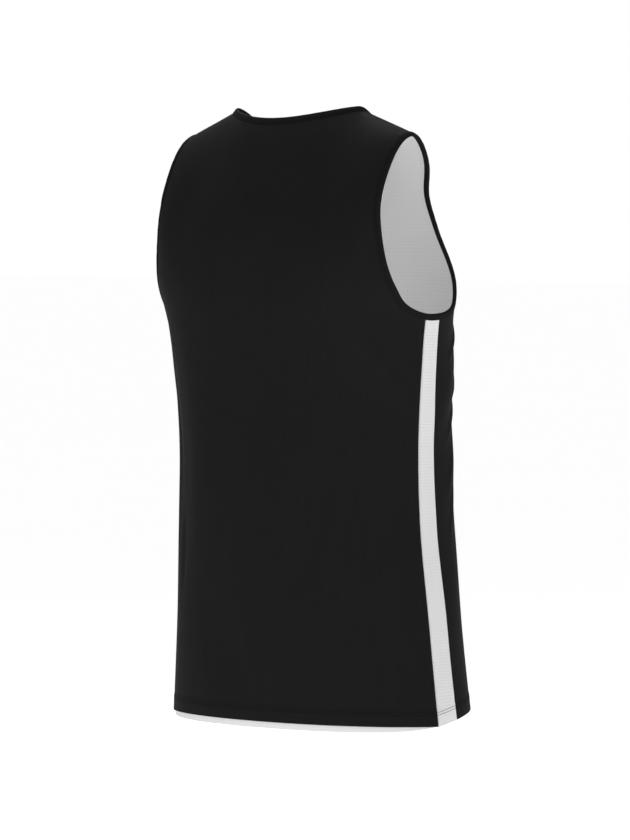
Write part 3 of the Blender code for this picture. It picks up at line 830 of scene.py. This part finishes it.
def side_strip(name, strip, material):
    """A side strip of white mesh with a raised edge along each of its two seams."""
    columns = places(STRIP_WIDTH, STRIP_STEP, 3 * MM, 3 * MM, PIPE_WIDTH) * 2 - 1
    rows = places(STRIP_LENGTH, OUTER_STEP, HEM_FINE)
    cloth = Cloth(strip, columns, rows)
    pipe = PIPE_OUT * bell(cloth.from_sides - PIPE_FROM_SEAM, PIPE_WIDTH)
    outer = SEAM_DIP * bell(cloth.from_sides, STRIP_DIP_WIDTH) - pipe - hem_relief(cloth.from_hem)
    inner = np.maximum(MESH + HEM_FOLD * cloth.in_hem, outer + MESH)
    edges = step_down(cloth.from_sides, PLAIN_PIPE, 0.6 * EDGE_SOFT)
    plain = np.maximum(edges, cloth.in_hem)
    return add_mesh(name, *shell(cloth, outer, inner), material, np.stack([plain, plain]))


def lengths_along(points):
    """The length of a line up to each of its points."""
    return np.concatenate([[0], np.cumsum(np.linalg.norm(np.diff(points, axis=0), axis=1))])


def read_off(rows, along, at):
    """Rows of numbers given at lengths along a line, read off at other lengths."""
    return np.stack([np.interp(at, along, column) for column in rows.T], axis=1)


Seam = namedtuple("Seam", "points along normals beyond length")


def closed_seam(stretches, turn):
    """A closed seam from several stretches of points and normals: evened out to one spacing and
    smoothed over its joins. beyond, the direction in which the cloth would go on, is square to the
    seam and to the cloth's normals."""
    points, normals = (np.concatenate(group) for group in zip(*stretches))
    both = np.hstack([points, normals])
    both = np.vstack([both, both[:1]])
    along = lengths_along(both[:, :3])
    length = along[-1]
    count = round(length / BINDING_STEP)
    even = read_off(both, along, np.arange(count) * length / count)
    for _ in range(4):
        even = (np.roll(even, 1, axis=0) + 2 * even + np.roll(even, -1, axis=0)) / 4
    points, normals = even[:, :3], unit(even[:, 3:])
    tangent = np.roll(points, -1, axis=0) - np.roll(points, 1, axis=0)
    along = unit(tangent) * turn
    beyond = unit(np.cross(along, normals))
    return Seam(points, along, np.cross(beyond, along), beyond, length)


def armhole_seam(side, back, front, strip):
    """Round one armhole: across the top of the side strip, up the back, and down the front."""
    climb = np.linspace(strip.top, back.top, 161)
    bottom = frame_of(strip, np.linspace(-1, 1, 25), strip.top)
    rising = frame_of(back, side, climb[1:])
    falling = frame_of(front, side, climb[:0:-1])
    return closed_seam([bottom, rising, falling], -side)


def neck_seam(back, front):
    """Round the neck: along the back neckline to the wearer's left, and back along the front."""
    neck = NECK_SHARE * np.linspace(-1, 1, 201)
    behind = frame_of(back, neck, back.top)
    before = frame_of(front, neck[::-1], front.top)
    return closed_seam([behind, before], 1)


def binding_profile(width):
    """The middle line of the folded strip across its width: turned under, over the outer face, round
    the free edge and back along the inner face, turned under again. Columns: beyond, out."""
    tuck_out = 0.5 * BINDING_CLOTH + BINDING_LIFT
    leg_out = tuck_out + BINDING_CLOTH + BINDING_AIR
    leg_in = -(LINING_DEPTH + MESH) - leg_out
    tuck = np.array([BINDING_TUCK - BINDING_OVERLAP, -0.4 * MM])
    fold = np.radians(np.linspace(-60, 60, 5))
    fold_radius = (leg_out - tuck_out) / 2
    leg = np.array([-0.7, 0.0, 0.35, 0.7, 1.1, 2.2, 3.4]) * MM
    crown = BINDING_CROWN * np.sin(np.pi * (leg + BINDING_OVERLAP) / width)
    crown = crown - BINDING_GROOVE * bell(leg - NEEDLE_FROM_SEAM, BINDING_GROOVE_WIDTH)
    beyond = np.concatenate([tuck, -BINDING_OVERLAP + fold_radius * (1 - np.cos(fold)), leg])
    folded = (tuck_out + leg_out) / 2 + fold_radius * np.sin(fold)
    out = np.concatenate([np.full(2, tuck_out), folded, leg_out + crown])
    upper = np.stack([beyond, out], axis=1)
    lower = upper[::-1] * (1, -1) + (0, leg_out + leg_in)

    turn = np.radians(np.linspace(78, -78, 9))
    middle = (leg_out + leg_in) / 2
    nose = width - BINDING_CLOTH / 2 - BINDING_NOSE + BINDING_NOSE * np.cos(turn)
    edge = np.stack([nose, middle + (leg_out - middle) * np.sin(turn)], axis=1)
    return np.concatenate([upper, edge, lower])


def binding(name, seam, width, stand, material):
    """A folded strip carried round a seam, with a slight pucker. It turns up by its stand between
    the seam and its middle."""
    line = binding_profile(width)
    tangent = unit(np.gradient(line, axis=0))
    side = np.stack([-tangent[:, 1], tangent[:, 0]], axis=1) * BINDING_CLOTH / 2
    profile = np.concatenate([line + side, (line - side)[::-1]])
    count = len(seam.points)
    turn = np.arange(count) / count * 2 * np.pi
    pucker = PUCKER * sum(np.sin(turn * round(seam.length / length)) for length in PUCKER_LENGTHS)
    out = profile[:, 1] + pucker[:, None] * (profile[:, 0] > 0.5 * MM)
    lift = stand * np.clip(profile[:, :1] / (width * 0.45), 0, 1) * (0, 0, 1)
    along = seam.along[:, None]
    edge = unit(np.cross(along, np.cross(seam.beyond[:, None] + lift, along)))
    rings = seam.points[:, None] + edge * profile[:, :1] + np.cross(edge, along) * out[..., None]
    index = np.arange(count * len(profile)).reshape(count, -1)
    after, over = np.roll(index, -1, axis=0), np.roll(index, -1, axis=1)
    quads = np.stack([index, after, np.roll(after, -1, axis=1), over], -1).reshape(-1, 4)
    v = lengths_along(np.vstack([profile, profile[:1]]))
    u = np.arange(count + 1) * seam.length / count
    grid = np.stack(np.meshgrid(u, v, indexing="ij"), -1)
    uv = np.stack([grid[:-1, :-1], grid[1:, :-1], grid[1:, 1:], grid[:-1, 1:]], 2)
    return add_mesh(name, rings.reshape(-1, 3), quads, uv.reshape(-1, 4, 2), material)


# ==== stitches ====

HEM_PITCH = 2.8 * MM
BINDING_PITCH = 2.7 * MM
STITCH_LENGTH = 2.5 * MM
STITCH_UNEVEN = 0.04  # share of its length
STITCH_SLANT = 0.05  # mean lean to either side
THREAD = 0.30 * MM  # radius
# how far the middle of the thread lies outside a hem, a lining hem and a binding's inner faces
HEM_THREAD = 0.22 * MM
LINING_THREAD = 0.12 * MM
BINDING_THREAD = 0.78 * MM


def stitches(name, rows, material, pitch, seed):
    """Rows of stitches joined into one mesh. Each stitch is a six-sided rod along its row, thinner
    and sunk at both ends. A row is a dense line of points with the cloth's normals."""
    chance = np.random.default_rng(seed)
    found = []
    for points, outward in rows:
        along = lengths_along(points)
        count = int(along[-1] / pitch)
        at = (np.arange(count) + 0.5) * along[-1] / count
        line = np.hstack([points, outward, np.gradient(points, axis=0)])
        found.append(read_off(line, along, at))
    centre, normal, tangent = np.split(np.concatenate(found), 3, axis=1)
    tangent = unit(tangent)
    across = unit(np.cross(normal, tangent))
    normal = np.cross(tangent, across)
    slant = chance.normal(0, STITCH_SLANT, (len(centre), 1))
    tangent = unit(tangent + across * slant)
    across = np.cross(normal, tangent)
    length = STITCH_LENGTH * (1 + chance.normal(0, STITCH_UNEVEN, len(centre)))

    ring_at = np.array([-0.5, -0.32, 0.32, 0.5])
    ring_radius = np.array([0.5, 1.0, 1.0, 0.5]) * THREAD
    ring_out = np.array([-0.5, 0.45, 0.45, -0.5]) * THREAD
    rings, sides = len(ring_at), 6
    turn = np.arange(sides) * np.pi / 3
    shape = (len(centre), rings, sides)
    along = np.broadcast_to(ring_at[:, None] * length[:, None, None], shape)
    sideways = ring_radius[:, None] * np.cos(turn)
    out = ring_radius[:, None] * np.sin(turn) + ring_out[:, None]
    vertices = centre[:, None, None]
    for amount, way in ((along, tangent), (sideways, across), (out, normal)):
        vertices = vertices + amount[..., None] * way[:, None, None]

    index = np.arange(rings * sides).reshape(rings, sides)
    after = np.roll(index, -1, axis=1)
    tube = np.stack([index[:-1], after[:-1], after[1:], index[1:]], -1).reshape(-1, 4)
    cap = np.array([[3, 2, 1, 0], [5, 4, 3, 0]])
    one = np.concatenate([tube, cap, index[-1][cap[:, ::-1]]])
    quads = (one + index.size * np.arange(len(centre))[:, None, None]).reshape(-1, 4)
    uv = np.stack([along, np.broadcast_to(turn * THREAD, shape)], -1).reshape(-1, 2)
    return add_mesh(name, vertices.reshape(-1, 3), quads, uv[quads], material)


def hem_rows(surfaces, depth, face):
    """Two lines above the hem of each piece, a depth below the form, for stitches on its outer
    face (1) or its inner one (-1)."""
    across = np.linspace(-1, 1, 401)
    rows = []
    for surface in surfaces:
        length = surface(across, 1.0)[:, 2] - surface(across, 0.0)[:, 2]
        for needle in HEM_NEEDLES:
            points, normals = frame_of(surface, across, needle / length)
            rows.append((points - normals * depth, normals * face))
    return rows


def binding_rows(seam):
    """Two lines round a binding beside its seam, on its outer face and on its inner one."""
    rows = []
    for depth, face in ((-BINDING_THREAD, 1), (LINING_DEPTH + MESH + BINDING_THREAD, -1)):
        points = seam.points + seam.beyond * NEEDLE_FROM_SEAM - seam.normals * depth
        normals = seam.normals * face
        rows.append((np.vstack([points, points[:1]]), np.vstack([normals, normals[:1]])))
    return rows


# ==== studio ====


def towards(around, above):
    """The direction of a place, from the degrees round from the front to the wearer's left and the
    degrees above the horizon."""
    around, above = math.radians(around), math.radians(above)
    level = math.cos(above)
    return Vector((math.sin(around) * level, -math.cos(around) * level, math.sin(above)))


def place_camera():
    """Sets the camera behind the garment, looking at its middle."""
    back = towards(CAMERA_AROUND, CAMERA_ABOVE)
    right = towards(CAMERA_AROUND + 90, 0)
    lens = bpy.data.cameras.new("camera")
    lens.lens = CAMERA_LENS
    lens.clip_end = 300.0
    camera = bpy.data.objects.new("camera", lens)
    camera.location = right * AIM_RIGHT + Vector((0, 0, AIM_HEIGHT)) + back * CAMERA_DISTANCE
    camera.rotation_euler = back.to_track_quat("Z", "Y").to_euler()
    bpy.context.collection.objects.link(camera)
    bpy.context.scene.camera = camera


def add_floor():
    """A plain white floor under the garment. It glows a little, so that its far edge is lost."""
    half = FLOOR_HALF
    corners = [(-half, -half), (half, -half), (half, half), (-half, half)]
    mesh = bpy.data.meshes.new("floor")
    mesh.from_pydata([(x, y, FLOOR_HEIGHT) for x, y in corners], [], [(0, 1, 2, 3)])
    paint = Paint("floor_white", roughness=0.9, specular=0.1)
    paint.shader.inputs["Emission Color"].default_value = (1.0, 1.0, 1.0, 1.0)
    paint.shader.inputs["Emission Strength"].default_value = FLOOR_GLOW
    white, pale = (FLOOR_WHITE,) * 3, (FLOOR_WHITE - 0.02,) * 3
    mesh.materials.append(paint.finish(paint.between(paint.noise(0.8), white, pale)))
    floor = bpy.data.objects.new("floor", mesh)
    bpy.context.collection.objects.link(floor)


Lamp = namedtuple("Lamp", "name around above distance size power")
LAMPS = [
    Lamp("key", 232, 20, 3.6, 2.0, 26),
    Lamp("left_above", 68, 62, 3.2, 1.4, 66),
    Lamp("left_rim", 48, 46, 3.4, 0.8, 56),
    Lamp("right_rim", 345, 24, 3.4, 0.6, 13),
]


def light_studio():
    """Four soft lamps, and a sky that is white to the camera and dimmer on the garment."""
    for lamp in LAMPS:
        way = towards(lamp.around, lamp.above)
        light = bpy.data.lights.new(lamp.name, "AREA")
        light.shape = "DISK"
        light.size = lamp.size
        light.energy = lamp.power
        source = bpy.data.objects.new(lamp.name, light)
        source.visible_camera = False
        source.location = way * lamp.distance + Vector((0, 0, AIM_HEIGHT))
        source.rotation_euler = way.to_track_quat("Z", "Y").to_euler()
        bpy.context.collection.objects.link(source)
    world = bpy.data.worlds.new("studio")
    bpy.context.scene.world = world
    world.use_nodes = True
    nodes, links = world.node_tree.nodes, world.node_tree.links
    lit = nodes["Background"]
    seen = nodes.new("ShaderNodeBackground")
    for sky, strength in ((lit, SKY_LIGHT), (seen, SKY_SEEN)):
        sky.inputs["Color"].default_value = (1.0, 1.0, 1.0, 1.0)
        sky.inputs["Strength"].default_value = strength
    rays, both = nodes.new("ShaderNodeLightPath"), nodes.new("ShaderNodeMixShader")
    links.new(rays.outputs["Is Camera Ray"], both.inputs[0])
    links.new(lit.outputs[0], both.inputs[1])
    links.new(seen.outputs[0], both.inputs[2])
    links.new(both.outputs[0], nodes["World Output"].inputs["Surface"])
    bpy.context.scene.view_settings.view_transform = "Standard"


# ==== the whole garment ====

# width and length (m) of the cloth that shows of each flat piece, and its area (square metres)
Cut = namedtuple("Cut", "width length area")


def declare(piece, node):
    """Hides the solid that a piece stands for."""
    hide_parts(node)


def main():
    """Builds the studio, the materials and every piece, outermost first."""
    place_camera()
    add_floor()
    light_studio()

    black, bound = black_knit(), binding_knit()
    strip_white = eyelet_mesh("white_mesh", STRIP_NET, *STRIP_TONES_AND_EYELET_SHADE)
    lining_white = eyelet_mesh("white_lining", LINING_NET, *LINING_TONES_AND_EYELET_SHADE)
    black_thread = thread("black_thread", *BLACK_THREAD_SHADE_AND_TONE)
    white_thread = thread("white_thread", *WHITE_THREAD_SHADE_AND_TONE)

    back = Panel(BACK, strip_reach, HEM_BACK, HEM_STRIP_BACK)
    front = Panel(FRONT, strip_reach, HEM_FRONT, HEM_STRIP_FRONT)
    hem_side = (HEM_STRIP_BACK + HEM_STRIP_FRONT) / 2
    low_back = Panel(BACK, seam_at_side_line, HEM_BACK - LINING_BELOW_BACK_HEM, hem_side)
    high_front = Panel(FRONT, seam_at_side_line, HEM_FRONT + LINING_ABOVE_FRONT_HEM, hem_side)
    right, left = Strip(RIGHT), Strip(LEFT)

    for make, name, surface, material, node, slot in (
        (outer_panel, "back_cloth", back, black, "back_panel", "black_knit"),
        (outer_panel, "front_cloth", front, black, "front_panel", "black_knit"),
        (lining_panel, "back_lining", low_back, lining_white, "lining_back", "white_lining"),
        (lining_panel, "front_lining", high_front, lining_white, "lining_front", "white_lining"),
        (side_strip, "side_strip_right", right, strip_white, "side_panel_right", "white_mesh"),
        (side_strip, "side_strip_left", left, strip_white, "side_panel_left", "white_mesh"),
    ):
        declare(make(name, surface, material), node)

    seams = {"neck_binding": (neck_seam(back, front), NECK_BINDING_WIDTH, NECK_STAND)}
    for name, strip in (("armhole_binding_right", right), ("armhole_binding_left", left)):
        seam = armhole_seam(strip.side, back, front, strip)
        seams[name] = (seam, ARMHOLE_BINDING_WIDTH, 0)
    for node, (seam, width, stand) in seams.items():
        piece = binding(node.replace("binding", "band"), seam, width, stand, bound)
        declare(piece, node)
        name = node.replace("binding", "stitches")
        sewn = stitches(name, binding_rows(seam), black_thread, BINDING_PITCH, seed=5)

    rows = hem_rows((back, front, right, left), -HEM_THREAD, 1)
    stitches("hem_stitches", rows, black_thread, HEM_PITCH, seed=2)
    rows = hem_rows((low_back, high_front), LINING_DEPTH + MESH + LINING_THREAD, -1)
    stitches("lining_hem_stitches", rows, white_thread, HEM_PITCH, seed=3)


main()
